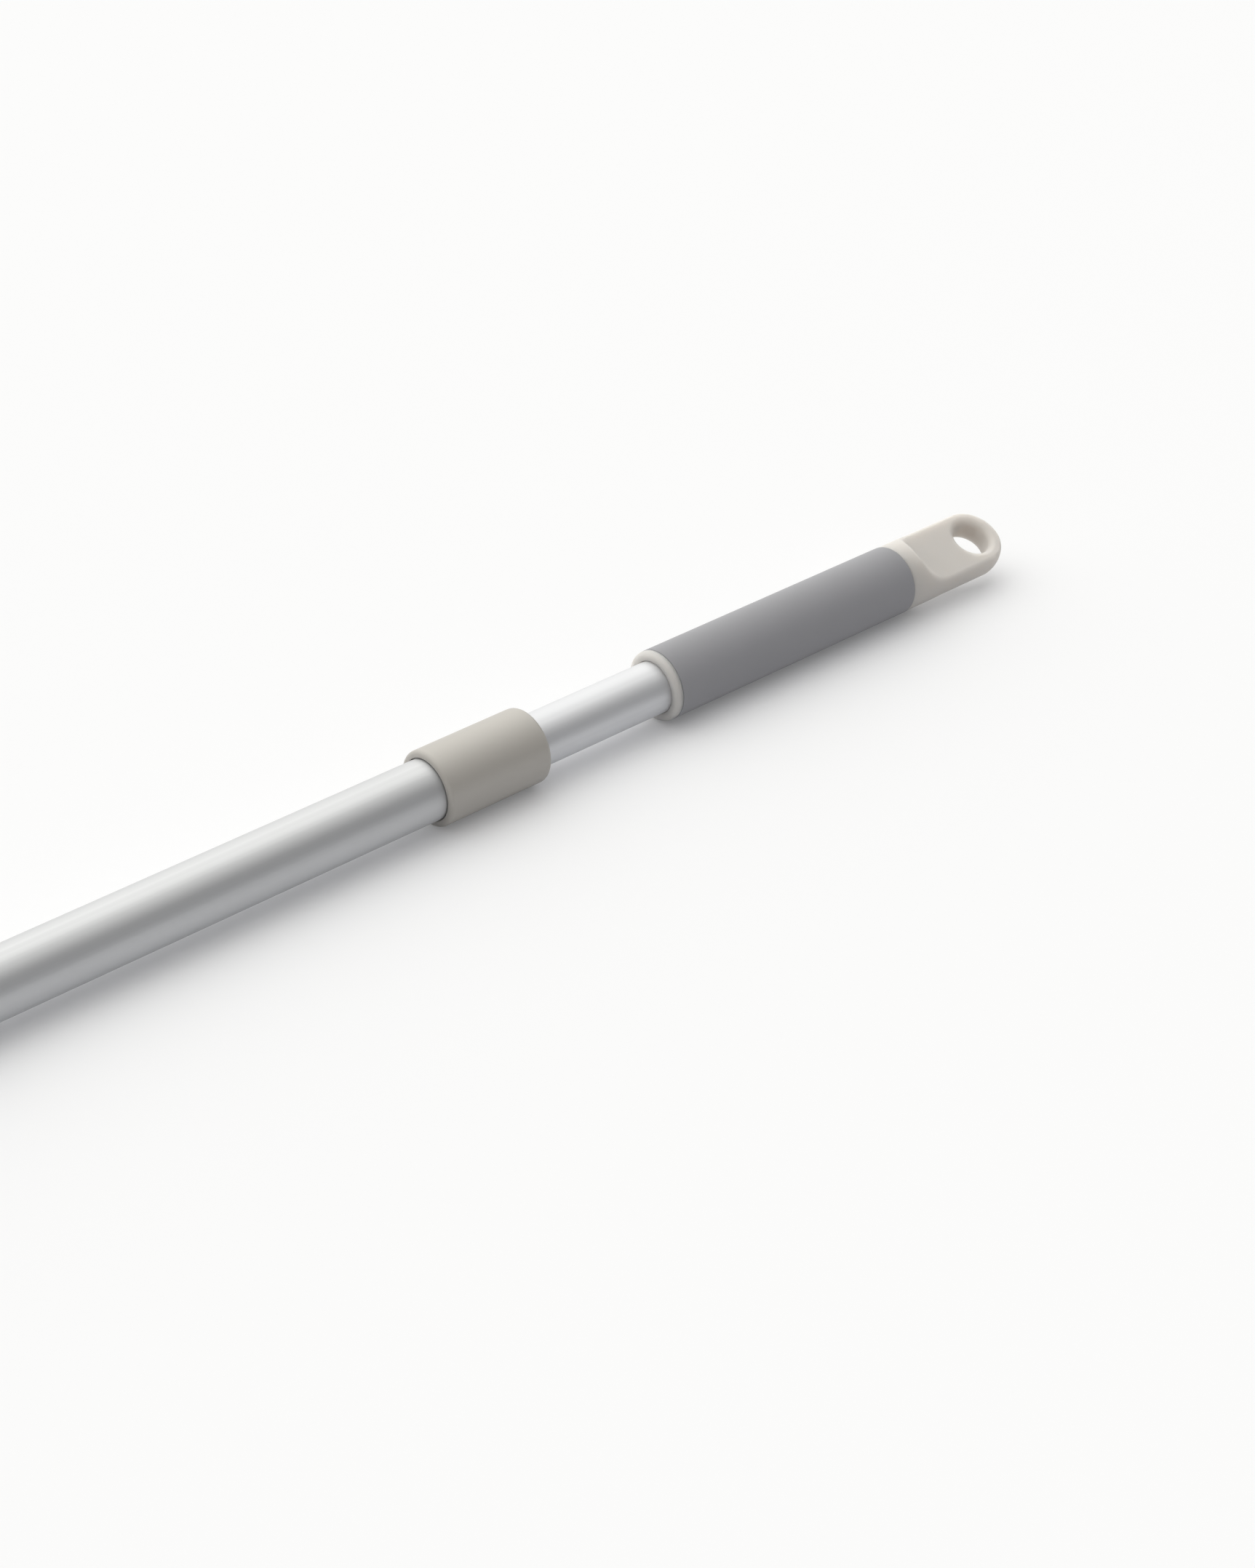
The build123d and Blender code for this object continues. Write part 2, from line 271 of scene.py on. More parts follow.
class EffectBook:
    """Builds each shared node group once."""

    COARSE_RATIO = 0.23
    BROAD_RATIO = 0.12
    NOISE_BAND = (0.35, 0.65)
    RIDGE_WIDTH = 0.06
    PATCH_SCALE = 900.0
    PATCH_RANGE = (0.3, 1.0)
    DOT_CORE = 0.4

    def __init__(self) -> None:
        """Start with no groups built."""
        self._built: dict[Effect, bpy.types.NodeTree] = {}

    def get(self, effect: Effect) -> bpy.types.NodeTree:
        """Return a group, building it the first time."""
        if effect not in self._built:
            makers = {
                Effect.GRAIN: self._grain,
                Effect.TONE: self._tone,
                Effect.DRAWN: self._drawn,
                Effect.RUBBED: self._rubbed,
                Effect.SPECKS: self._specks,
            }
            self._built[effect] = makers[effect](effect.value)
        return self._built[effect]

    @staticmethod
    def _start(
        name: str, inputs: dict[str, Union[float, Color]], outputs: dict[str, str]
    ) -> tuple[bpy.types.NodeTree, Wiring, Node, Node]:
        """Open a group with its sockets.

        Args:
            name: The group's name.
            inputs: Default values by input name; a triple makes a colour.
            outputs: Socket types by output name.

        Returns:
            The group, its wiring, its input node and its output node.
        """
        group = bpy.data.node_groups.new(name, "ShaderNodeTree")
        for title, value in inputs.items():
            is_color = isinstance(value, tuple)
            kind = "NodeSocketColor" if is_color else "NodeSocketFloat"
            socket = group.interface.new_socket(title, in_out="INPUT", socket_type=kind)
            socket.default_value = open_color(value) if is_color else value
        for title, kind in outputs.items():
            group.interface.new_socket(title, in_out="OUTPUT", socket_type=kind)
        wiring = Wiring(group)
        return group, wiring, wiring.add("NodeGroupInput"), wiring.add("NodeGroupOutput")

    def _grain(self, name: str) -> bpy.types.NodeTree:
        """Fine pebbled texture of a moulded or soft-touch surface, in two sizes."""
        defaults = {"Size": 0.3 * MM, "Coarse Share": 0.3}
        group, wiring, source, sink = self._start(name, defaults, {"Height": "NodeSocketFloat"})
        fine_scale = wiring.math("DIVIDE", 1.0, source.outputs["Size"])
        coarse_scale = wiring.math("MULTIPLY", fine_scale, self.COARSE_RATIO)
        place = wiring.place()
        share = source.outputs["Coarse Share"]
        coarse = wiring.math("MULTIPLY", wiring.noise(place, coarse_scale, detail=3.0), share)
        rest = wiring.math("SUBTRACT", 1.0, share)
        fine = wiring.math("MULTIPLY", wiring.noise(place, fine_scale, detail=3.0), rest)
        wiring.fill(sink, Height=wiring.math("ADD", fine, coarse))
        return group

    def _tone(self, name: str) -> bpy.types.NodeTree:
        """Slow change of a colour's depth over a piece, as in any moulding or anodised tube."""
        defaults = {"Color": (0.5, 0.5, 0.5), "Size": 40.0 * MM, "Amount": 0.05}
        group, wiring, source, sink = self._start(name, defaults, {"Color": "NodeSocketColor"})
        scale = wiring.math("DIVIDE", 1.0, source.outputs["Size"])
        noise = wiring.noise(wiring.place(), scale, detail=4.0)
        centred = wiring.math("SUBTRACT", noise, 0.5)
        swing = wiring.math("MULTIPLY", centred, source.outputs["Amount"])
        level = wiring.math("ADD", wiring.math("MULTIPLY", swing, 2.0), 1.0)
        toned = wiring.vector("SCALE", source.outputs["Color"], level)
        wiring.fill(sink, Color=toned)
        return group

    def _drawn(self, name: str) -> bpy.types.NodeTree:
        """Long faint lines along the pole, left by the die that a tube is drawn through."""
        defaults = {"Spacing": 0.25 * MM, "Length": 60.0 * MM}
        sockets = {"Height": "NodeSocketFloat", "Mask": "NodeSocketFloat"}
        group, wiring, source, sink = self._start(name, defaults, sockets)
        across = wiring.math("DIVIDE", 1.0, source.outputs["Spacing"])
        along = wiring.math("DIVIDE", 1.0, source.outputs["Length"])
        stretch = wiring.add("ShaderNodeCombineXYZ", X=along, Y=across, Z=across)
        place = wiring.place(stretch.outputs[0])
        wiring.fill(sink, Height=wiring.noise(place, 1.0, detail=2.0))
        broad = wiring.noise(place, self.BROAD_RATIO, detail=2.0)
        wiring.fill(sink, Mask=wiring.remap(broad, self.NOISE_BAND, smooth=True))
        return group

    def _rubbed(self, name: str) -> bpy.types.NodeTree:
        """Edges that hands and storage have polished, broken up by noise."""
        defaults = {"Start": 0.52, "Amount": 0.5}
        group, wiring, source, sink = self._start(name, defaults, {"Mask": "NodeSocketFloat"})
        pointiness = wiring.add("ShaderNodeNewGeometry").outputs["Pointiness"]
        start = source.outputs["Start"]
        end = wiring.math("ADD", start, self.RIDGE_WIDTH)
        ridge = wiring.remap(pointiness, (start, end), smooth=True)
        noise = wiring.noise(wiring.place(), self.PATCH_SCALE, detail=3.0)
        patches = wiring.remap(noise, self.NOISE_BAND, self.PATCH_RANGE)
        mask = wiring.math("MULTIPLY", ridge, patches)
        wiring.fill(sink, Mask=wiring.math("MULTIPLY", mask, source.outputs["Amount"]))
        return group

    def _specks(self, name: str) -> bpy.types.NodeTree:
        """Scattered specks: tufts in felt, dust on a sleeve."""
        defaults = {"Size": 0.8 * MM, "Fill": 0.2}
        group, wiring, source, sink = self._start(name, defaults, {"Mask": "NodeSocketFloat"})
        scale = wiring.math("DIVIDE", 1.0, source.outputs["Size"])
        cells = wiring.add("ShaderNodeTexVoronoi", Vector=wiring.place(), Scale=scale)
        rim = source.outputs["Fill"]
        core = wiring.math("MULTIPLY", rim, self.DOT_CORE)
        dots = wiring.remap(cells.outputs["Distance"], (rim, core), smooth=True)
        wiring.fill(sink, Mask=dots)
        return group


EFFECTS = EffectBook()


# ---------------------------------------------------------------- finishes
@dataclass(frozen=True)
class Finish:
    """A surface finish, which builds one material.

    Attributes:
        name: The material's name.
        color: Its linear colour.
        roughness: Its middle roughness.
        tone: The size and the amount of the colour's slow change.
        spread: How far the roughness goes below and above its middle.
    """

    HEIGHT_BAND = (0.3, 0.7)
    RUB_START = 0.53

    name: str
    color: Color
    roughness: float
    tone: Range = (18.0 * MM, 0.025)
    spread: Range = (0.04, 0.05)

    def open(self) -> tuple[Material, Wiring, Node]:
        """Start the material.

        Returns:
            The material, its wiring and its shader node.
        """
        material = bpy.data.materials.new(self.name)
        wiring = empty_tree(material)
        shader = wiring.add("ShaderNodeBsdfPrincipled", Roughness=self.roughness)
        wiring.add("ShaderNodeOutputMaterial", Surface=shader.outputs["BSDF"])
        return material, wiring, shader

    def effect(self, wiring: Wiring, effect: Effect, **inputs: object) -> Node:
        """Place a shared node group in the material with this finish's values."""
        return wiring.add("ShaderNodeGroup", {"node_tree": EFFECTS.get(effect)}, **inputs)

    def toned(self, wiring: Wiring) -> Socket:
        """Give the finish's colour with its slow change over a piece."""
        color = open_color(self.color)
        size, amount = self.tone
        node = self.effect(wiring, Effect.TONE, Color=color, Size=size, Amount=amount)
        return node.outputs["Color"]

    def varied(self, wiring: Wiring, signal: Socket, band: Range) -> Socket:
        """Spread the roughness as a signal goes through its band.

        Args:
            wiring: The material's wiring.
            signal: The height or mask that the roughness follows.
            band: The signal's range.

        Returns:
            The roughness.
        """
        below, above = self.spread
        return wiring.remap(signal, band, (self.roughness - below, self.roughness + above))

    def rubbed(self, wiring: Wiring, amount: float) -> Socket:
        """Give the mask of the rubbed edges."""
        node = self.effect(wiring, Effect.RUBBED, Start=self.RUB_START, Amount=amount)
        return node.outputs["Mask"]

    def grained(self, wiring: Wiring, size: float, coarse: float) -> Socket:
        """Give the height of a pebbled grain."""
        node = self.effect(wiring, Effect.GRAIN, Size=size, Coarse_Share=coarse)
        return node.outputs["Height"]

    def raise_surface(self, wiring: Wiring, shader: Node, height: Socket, depth: float) -> None:
        """Feed a height to the shader's normal.

        Args:
            wiring: The material's wiring.
            shader: The shader node.
            height: The height, from 0 to 1.
            depth: What a height of 1 measures.
        """
        bump = wiring.add("ShaderNodeBump", Strength=1.0, Distance=depth, Height=height)
        wiring.fill(shader, Normal=bump.outputs["Normal"])

    def material(self) -> Material:
        """Build the material."""
        raise NotImplementedError


@dataclass(frozen=True)
class MouldedPlastic(Finish):
    """Hard injection moulding with a fine spark-eroded texture."""

    grain: float = 0.22 * MM
    depth: float = 0.006 * MM
    rub: float = 0.35
    worn_lift: float = 1.12
    worn_polish: float = -0.12
    ior: float = 1.49
    shine: float = 0.5
    glow_depth: float = 0.0
    glow_tint: Color = (1.0, 0.95, 0.9)

    def material(self) -> Material:
        """Build the material."""
        material, wiring, shader = self.open()
        rubbed = self.rubbed(wiring, self.rub)
        pale = open_color(tuple(min(1.0, channel * self.worn_lift) for channel in self.color))
        color = wiring.blend(rubbed, self.toned(wiring), pale)
        height = self.grained(wiring, self.grain, coarse=0.25)
        worn = wiring.math("MULTIPLY", rubbed, self.worn_polish)
        rough = wiring.math("ADD", self.varied(wiring, height, self.HEIGHT_BAND), worn)
        self.raise_surface(wiring, shader, height, self.depth)
        wiring.fill(shader, Base_Color=color, Roughness=rough)
        wiring.fill(shader, IOR=self.ior, Specular_IOR_Level=self.shine)
        if self.glow_depth:
            wiring.fill(shader, Subsurface_Weight=1.0, Subsurface_Radius=self.glow_tint)
            wiring.fill(shader, Subsurface_Scale=self.glow_depth)
        return material


@dataclass(frozen=True)
class SoftRubber(Finish):
    """Soft-touch sleeve: velvety, with a very fine grain and a few specks of dust."""

    tone: Range = (26.0 * MM, 0.035)
    spread: Range = (0.03, 0.04)
    grain: float = 0.16 * MM
    depth: float = 0.008 * MM
    dust: Color = (0.6, 0.6, 0.6)
    dust_share: float = 0.10
    ior: float = 1.45
    softness: float = 0.8
    shine: float = 0.65
    velvet: float = 0.12
    velvet_roughness: float = 0.45

    def material(self) -> Material:
        """Build the material."""
        material, wiring, shader = self.open()
        specks = self.effect(wiring, Effect.SPECKS, Size=1.9 * MM, Fill=0.05).outputs["Mask"]
        faint = wiring.math("MULTIPLY", specks, self.dust_share)
        color = wiring.blend(faint, self.toned(wiring), open_color(self.dust))
        height = self.grained(wiring, self.grain, coarse=0.35)
        rough = self.varied(wiring, height, self.HEIGHT_BAND)
        self.raise_surface(wiring, shader, height, self.depth)
        wiring.fill(shader, Base_Color=color, Roughness=rough)
        wiring.fill(shader, IOR=self.ior, Specular_IOR_Level=self.shine)
        wiring.fill(shader, Diffuse_Roughness=self.softness)
        wiring.fill(shader, Sheen_Weight=self.velvet, Sheen_Roughness=self.velvet_roughness)
        return material


@dataclass(frozen=True)
class DrawnAluminium(Finish):
    """Drawn tube, satin etched and clear anodised."""

    tone: Range = (60.0 * MM, 0.02)
    spread: Range = (0.025, 0.035)
    spacing: float = 0.22 * MM
    line_length: float = 90.0 * MM
    line_share: float = 0.6
    grain: float = 0.12 * MM
    depth: float = 0.003 * MM
    metal: float = 1.0

    def material(self) -> Material:
        """Build the material."""
        material, wiring, shader = self.open()
        drawn = self.effect(
            wiring, Effect.DRAWN, Spacing=self.spacing, Length=self.line_length
        ).outputs
        grain = self.grained(wiring, self.grain, coarse=0.1)
        lines = wiring.math("MULTIPLY", drawn["Height"], self.line_share)
        etched = wiring.math("MULTIPLY", grain, 1.0 - self.line_share)
        self.raise_surface(wiring, shader, wiring.math("ADD", lines, etched), self.depth)
        rough = self.varied(wiring, drawn["Mask"], (0.0, 1.0))
        wiring.fill(shader, Base_Color=self.toned(wiring), Roughness=rough, Metallic=self.metal)
        return material


@dataclass(frozen=True)
class BrightSteel(Finish):
    """Turned or stamped steel with a fine uneven polish and brighter edges."""

    tone: Range = (4.0 * MM, 0.06)
    spread: Range = (0.06, 0.08)
    grain: float = 0.1 * MM
    depth: float = 0.003 * MM
    rub: float = 0.6
    worn_polish: float = -0.1

    def material(self) -> Material:
        """Build the material."""
        material, wiring, shader = self.open()
        height = self.grained(wiring, self.grain, coarse=0.4)
        worn = wiring.math("MULTIPLY", self.rubbed(wiring, self.rub), self.worn_polish)
        rough = wiring.math("ADD", self.varied(wiring, height, self.HEIGHT_BAND), worn)
        self.raise_surface(wiring, shader, height, self.depth)
        wiring.fill(shader, Base_Color=self.toned(wiring), Roughness=rough, Metallic=1.0)
        return material


@dataclass(frozen=True)
class WoolFelt(Finish):
    """Pressed felt with a coarse nap and paler tufts."""

    tone: Range = (1.5 * MM, 0.2)
    fibre: float = 0.15 * MM
    depth: float = 0.12 * MM
    tuft_lift: float = 1.4
    tuft_share: float = 0.4
    fuzz: float = 0.4

    def material(self) -> Material:
        """Build the material."""
        material, wiring, shader = self.open()
        specks = self.effect(wiring, Effect.SPECKS, Size=0.4 * MM, Fill=0.5).outputs["Mask"]
        pale = open_color(tuple(channel * self.tuft_lift for channel in self.color))
        share = wiring.math("MULTIPLY", specks, self.tuft_share)
        color = wiring.blend(share, self.toned(wiring), pale)
        height = self.grained(wiring, self.fibre, coarse=0.5)
        self.raise_surface(wiring, shader, height, self.depth)
        wiring.fill(shader, Base_Color=color, Sheen_Weight=self.fuzz)
        return material


class FinishBook:
    """The pole's finishes by material slot, each built once."""

    def __init__(self) -> None:
        """Name the finish of every slot."""
        self._finishes: dict[Slot, Finish] = {
            Slot.HANDLE: MouldedPlastic(
                "light_moulding", from_screen(206, 202, 198), 0.46, shine=0.3, glow_depth=10.0 * MM
            ),
            Slot.COLLAR: MouldedPlastic(
                "collar_moulding", from_screen(176, 172, 166), 0.40, shine=1.0
            ),
            Slot.GRIP: SoftRubber("soft_grip_rubber", from_screen(160, 160, 165), 0.60),
            Slot.OUTER_TUBE: DrawnAluminium(
                "outer_tube_satin", from_screen(202, 203, 205), 0.56, metal=0.97
            ),
            Slot.INNER_TUBE: DrawnAluminium(
                "inner_tube_satin", from_screen(213, 214, 217), 0.58, metal=0.88
            ),
            Slot.STEEL: BrightSteel("bright_steel", from_screen(196, 196, 198), 0.28),
            Slot.LOCK: MouldedPlastic("natural_moulding", from_screen(222, 219, 208), 0.5),
            Slot.CAM: MouldedPlastic("black_moulding", from_screen(58, 58, 60), 0.5, rub=0.2),
            Slot.FELT: WoolFelt("grey_felt", from_screen(148, 145, 140), 0.95),
        }
        self._built: dict[Slot, Material] = {}

    def get(self, slot: Slot) -> Material:
        """Return a slot's material, building it the first time."""
        if slot not in self._built:
            self._built[slot] = self._finishes[slot].material()
        return self._built[slot]


# ---------------------------------------------------------------- shapes
@dataclass(frozen=True)
class Span:
    """Stretch of the pole that one node of the frame fills."""

    start: float
    end: float
    radius: float

    @classmethod
    def of(cls, node: str) -> "Span":
        """Read a node's stretch from the frame."""
        low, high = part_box(node)
        return cls(low.x, high.x, (high.y - low.y) / 2)

    @property
    def middle(self) -> float:
        """Give the stretch's middle."""
        return (self.start + self.end) / 2

    @property
    def half(self) -> float:
        """Give half of the stretch's length."""
        return (self.end - self.start) / 2


def turn(
    mesh: Form, corners: list[Corner], steps: int = TURN_STEPS, closed: bool = True
) -> None:
    """Turn an outline about the pole's axis.

    Args:
        mesh: The mesh that gets the turned form.
        corners: The outline's corners, each as its station along the pole, its radius and the
            radius of the round on it.
        steps: How many flats the full turn has.
        closed: Whether the outline's end joins its start; if not, it starts and ends on the axis.
    """
    points = [mesh.verts.new((station, 0.0, radius)) for station, radius, _ in corners]
    ends = points[1:] + points[:1] if closed else points[1:]
    for pair in zip(points, ends):
        mesh.edges.new(pair)
    for point, (_, _, rounding) in zip(points, corners):
        if rounding:
            bmesh.ops.bevel(
                mesh,
                geom=[point],
                offset=rounding,
                offset_type="OFFSET",
                segments=max(LEAST_ROUND_STEPS, round(rounding / ROUND_STEP)),
                profile=0.5,
                affect="VERTICES",
                material=-1,
                clamp_overlap=False,
            )
    bmesh.ops.spin(
        mesh,
        geom=mesh.verts[:] + mesh.edges[:],
        axis=POLE_AXIS,
        cent=ORIGIN,
        angle=2 * pi,
        steps=steps,
        use_merge=True,
    )
    close_up(mesh)


def close_up(mesh: Form) -> None:
    """Merge doubled points and turn every face outwards."""
    bmesh.ops.remove_doubles(mesh, verts=mesh.verts, dist=MERGE_DISTANCE)
    bmesh.ops.recalc_face_normals(mesh, faces=mesh.faces)


def as_object(name: str, mesh: Form) -> Piece:
    """Turn a mesh under construction into an object in the scene."""
    data = bpy.data.meshes.new(name)
    mesh.to_mesh(data)
    mesh.free()
    made = bpy.data.objects.new(name, data)
    bpy.context.scene.collection.objects.link(made)
    return made


def turned(name: str, corners: list[Corner]) -> Piece:
    """Make an object by turning a closed outline about the pole's axis."""
    mesh = bmesh.new()
    turn(mesh, corners)
    return as_object(name, mesh)


def tilt(mesh: Form, start: Vector, end: Vector) -> None:
    """Rotate a form so that one of its directions points along another."""
    matrix = start.rotation_difference(end).to_matrix()
    bmesh.ops.rotate(mesh, verts=mesh.verts, cent=ORIGIN, matrix=matrix)


def settle(target: Piece) -> None:
    """Apply an object's modifiers to its mesh."""
    graph = bpy.context.evaluated_depsgraph_get()
    data = bpy.data.meshes.new_from_object(target.evaluated_get(graph))
    target.modifiers.clear()
    target.data = data


def cut(target: Piece, cutter: Piece) -> None:
    """Take one form out of another and delete the cutter.

    Args:
        target: The form that is cut.
        cutter: The form that is taken out.
    """
    modifier = target.modifiers.new("cut", "BOOLEAN")
    modifier.operation = "DIFFERENCE"
    modifier.solver = "EXACT"
    modifier.object = cutter
    settle(target)
    bpy.data.objects.remove(cutter)


def cross_cutter(place: Vector, direction: Vector, radius: float, length: float) -> Piece:
    """Make a round bar that cuts a hole square across the pole.

    Args:
        place: The bar's middle.
        direction: The way that it points.
        radius: The hole's radius.
        length: The bar's length.

    Returns:
        The bar.
    """
    mesh = bmesh.new()
    pointed = direction.to_track_quat("Z", "Y").to_matrix().to_4x4()
    bmesh.ops.create_cone(
        mesh,
        cap_ends=True,
        segments=SMALL_TURN_STEPS,
        radius1=radius,
        radius2=radius,
        depth=length,
        matrix=Matrix.Translation(place) @ pointed,
    )
    return as_object("cutter", mesh)


def dress(
    piece: Piece, slot: Slot, body: Body, finishes: FinishBook, replaces: list[str]
) -> None:
    """Shade a finished piece and hand it to the frame.

    Args:
        piece: The piece.
        slot: The material slot of its finish.
        body: The body that it moves with.
        finishes: Where its material comes from.
        replaces: The nodes that it stands for.
    """
    for polygon in piece.data.polygons:
        polygon.use_smooth = True
    piece.data.set_sharp_from_angle(angle=SHARP_ANGLE)
    weighted = piece.modifiers.new("even_shading", "WEIGHTED_NORMAL")
    weighted.keep_sharp = True
    settle(piece)
    piece.data.materials.clear()
    piece.data.materials.append(finishes.get(slot))
    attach(piece, body.value)
    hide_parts(*replaces)
    count = sum(len(polygon.vertices) - 2 for polygon in piece.data.polygons)
    LOG.info("%s: %d triangles on %s", piece.name, count, body.value)


def dress_node(node: str, slot: Slot, finishes: FinishBook) -> None:
    """Give a node of the frame its finish.

    Args:
        node: The node's name.
        slot: The material slot of its finish.
        finishes: Where its material comes from.
    """
    materials = frame["nodes"][node].data.materials
    if not len(materials):
        materials.append(None)
    for index in range(len(materials)):
        materials[index] = finishes.get(slot)
    LOG.info("%s: keeps its shape, in %s", node, slot.value)


# ---------------------------------------------------------------- handle
@dataclass
class Handle:
    """The handle: a hard moulding with front ring, blade and hang hole, and its soft sleeve."""

    blade_half: float = 6.0 * MM
    edge_softness: float = 2.0 * MM
    flat_length: float = 26.0 * MM
    ramp_radius: float = 17.0 * MM
    rim_round: float = 2.9 * MM
    ring_round: float = 2.2 * MM
    mouth_gap: float = 0.3 * MM
    mouth_depth: float = 1.2 * MM
    seam_round: float = 0.3 * MM
    sleeve_wall: float = 2.2 * MM
    cutter_lift: float = 0.015 * MM
    steps: int = 320
    end_steps: int = 120
    straight_steps: int = 14
    ramp_steps: int = 56
    rim_steps: int = 14
    core: Span = field(default_factory=lambda: Span.of("handle_core"))
    sleeve: Span = field(default_factory=lambda: Span.of("grip_sleeve"))
    tube: Span = field(default_factory=lambda: Span.of("upper_tube"))

    def __post_init__(self) -> None:
        """Read the hang hole from the record, and the body's radius from its ball end."""
        mounts = {mount["name"]: mount for mount in frame["record"]["mounts"]}
        hole = mounts["hang_hole"]
        self.normal = Vector(hole["axis"]).normalized()
        self.hole_radius = hole["dims"]["r_mm"] * MM
        self.radius = self.core.end

    def ceiling(self, station: float) -> float:
        """Give the height of the blade's flat, or of its run-out, above the blade's middle.

        Args:
            station: The place along the pole.

        Returns:
            The height, which is without limit where the handle is round.
        """
        behind = -self.flat_length - station
        if behind <= 0:
            return self.blade_half
        if behind >= self.ramp_radius:
            return inf
        return self.blade_half + self.ramp_radius - sqrt(self.ramp_radius**2 - behind**2)

    def soften(self, height: float, ceiling: float) -> float:
        """Hold a height under a ceiling, with a round where the two meet."""
        if ceiling - height >= self.edge_softness:
            return height
        lower = min(height, ceiling)
        overlap = max(0.0, self.edge_softness - abs(height - ceiling))
        return lower - overlap**2 / (4 * self.edge_softness)

    def _outline(self) -> list[Corner]:
        """List the round body's corners, from the ball end's rim to the bottom of the bore."""
        ramp_end = -self.flat_length - self.ramp_radius
        corners = [(0.0, self.radius, 0.0)]
        for step in range(1, self.straight_steps + 1):
            corners.append((-self.flat_length * step / self.straight_steps, self.radius, 0.0))
        for step in range(1, self.ramp_steps + 1):
            station = -self.flat_length + (ramp_end + self.flat_length) * step / self.ramp_steps
            corners.append((station, self.radius, 0.0))
        seat = self.sleeve.radius - self.sleeve_wall
        bore = self.tube.radius
        mouth = bore + self.mouth_gap
        shelf = self.core.start + self.mouth_depth
        return corners + [
            (self.sleeve.end, self.radius, self.seam_round),
            (self.sleeve.end, seat, 0.0),
            (self.sleeve.start, seat, 0.0),
            (self.sleeve.start, self.radius, self.seam_round),
            (self.core.start, self.radius, self.ring_round),
            (self.core.start, mouth, self.seam_round),
            (shelf, mouth, 0.0),
            (shelf, bore, 0.0),
            (self.tube.end, bore, 0.0),
            (self.tube.end, 0.0, 0.0),
        ]

    def _add_ball(self, mesh: Form) -> None:
        """Close the handle's end with half a ball, turned about the line through the hole.

        Args:
            mesh: The round body, open at the hole's station.
        """
        side = POLE_AXIS.cross(self.normal)
        rim = [edge for edge in mesh.edges if edge.is_boundary]
        half = [
            edge
            for edge in rim
            if all(point.co.dot(side) > -MERGE_DISTANCE for point in edge.verts)
        ]
        points = list({point for edge in half for point in edge.verts})
        copied = bmesh.ops.duplicate(mesh, geom=points + half)
        bmesh.ops.spin(
            mesh,
            geom=copied["geom"],
            axis=self.normal,
            cent=ORIGIN,
            angle=pi,
            steps=self.end_steps,
        )
        close_up(mesh)

    def _flatten(self, mesh: Form) -> None:
        """Press both sides of the end to the blade's thickness."""
        for point in mesh.verts:
            if point.co.x < -self.flat_length - self.ramp_radius:
                continue
            height = point.co.dot(self.normal)
            held = self.soften(abs(height), self.ceiling(point.co.x))
            point.co += self.normal * (copysign(held, height) - height)

    def _hole_cutter(self) -> Piece:
        """Make the spool that cuts the hang hole and rounds both of its rims.

        Returns:
            The spool.
        """
        reach = self.blade_half + CUT_MARGIN
        top = self.blade_half + self.cutter_lift
        wide = self.hole_radius + self.rim_round
        arc = []
        for step in range(self.rim_steps + 1):
            angle = pi / 2 * step / self.rim_steps
            height = top - self.rim_round + self.rim_round * cos(angle)
            arc.append((height, wide - self.rim_round * sin(angle), 0.0))
        far = [(-reach, 0.0, 0.0), (-reach, wide, 0.0)]
        far += [(-height, radius, 0.0) for height, radius, _ in arc]
        corners = far + arc[::-1] + [(reach, wide, 0.0), (reach, 0.0, 0.0)]
        mesh = bmesh.new()
        turn(mesh, corners, closed=False)
        tilt(mesh, POLE_AXIS, self.normal)
        return as_object("hole_cutter", mesh)

    def make_moulding(self) -> Piece:
        """Build the hard moulding.

        Returns:
            The moulding.
        """
        mesh = bmesh.new()
        turn(mesh, self._outline(), self.steps, closed=False)
        tilt(mesh, UP, self.normal)
        self._add_ball(mesh)
        self._flatten(mesh)
        moulding = as_object("handle_moulding", mesh)
        cut(moulding, self._hole_cutter())
        return moulding

    def make_sleeve(self) -> Piece:
        """Build the soft sleeve.

        Returns:
            The sleeve.
        """
        inner = self.sleeve.radius - self.sleeve_wall
        corners = [
            (self.sleeve.start, inner, 0.0),
            (self.sleeve.start, self.sleeve.radius, self.seam_round),
            (self.sleeve.end, self.sleeve.radius, self.seam_round),
            (self.sleeve.end, inner, 0.0),
        ]
        return turned("soft_sleeve", corners)

    def build(self, finishes: FinishBook) -> None:
        """Build and dress the handle's pieces."""
        dress(self.make_moulding(), Slot.HANDLE, Body.UPPER, finishes, ["handle_core"])
        dress(self.make_sleeve(), Slot.GRIP, Body.UPPER, finishes, ["grip_sleeve"])
        dress_node("handle_pin", Slot.STEEL, finishes)


# ---------------------------------------------------------------- tubes
@dataclass
class Tubes:
    """The two aluminium tubes."""

    inner_wall: float = 1.0 * MM
    outer_wall: float = 1.2 * MM
    edge_round: float = 0.15 * MM

    def make(self, name: str, node: str, wall: float) -> Piece:
        """Build one tube.

        Args:
            name: The piece's name.
            node: The node that it stands for.
            wall: The tube's wall.

        Returns:
            The tube.
        """
        span = Span.of(node)
        inner = span.radius - wall
        corners = [
            (span.start, inner, self.edge_round),
            (span.start, span.radius, self.edge_round),
            (span.end, span.radius, self.edge_round),
            (span.end, inner, self.edge_round),
        ]
        return turned(name, corners)

    def build(self, finishes: FinishBook) -> None:
        """Build and dress both tubes."""
        thin = self.make("inner_tube", "upper_tube", self.inner_wall)
        dress(thin, Slot.INNER_TUBE, Body.UPPER, finishes, ["upper_tube"])
        thick = self.make("outer_tube", "lower_tube", self.outer_wall)
        dress(thick, Slot.OUTER_TUBE, Body.LOWER, finishes, ["lower_tube"])


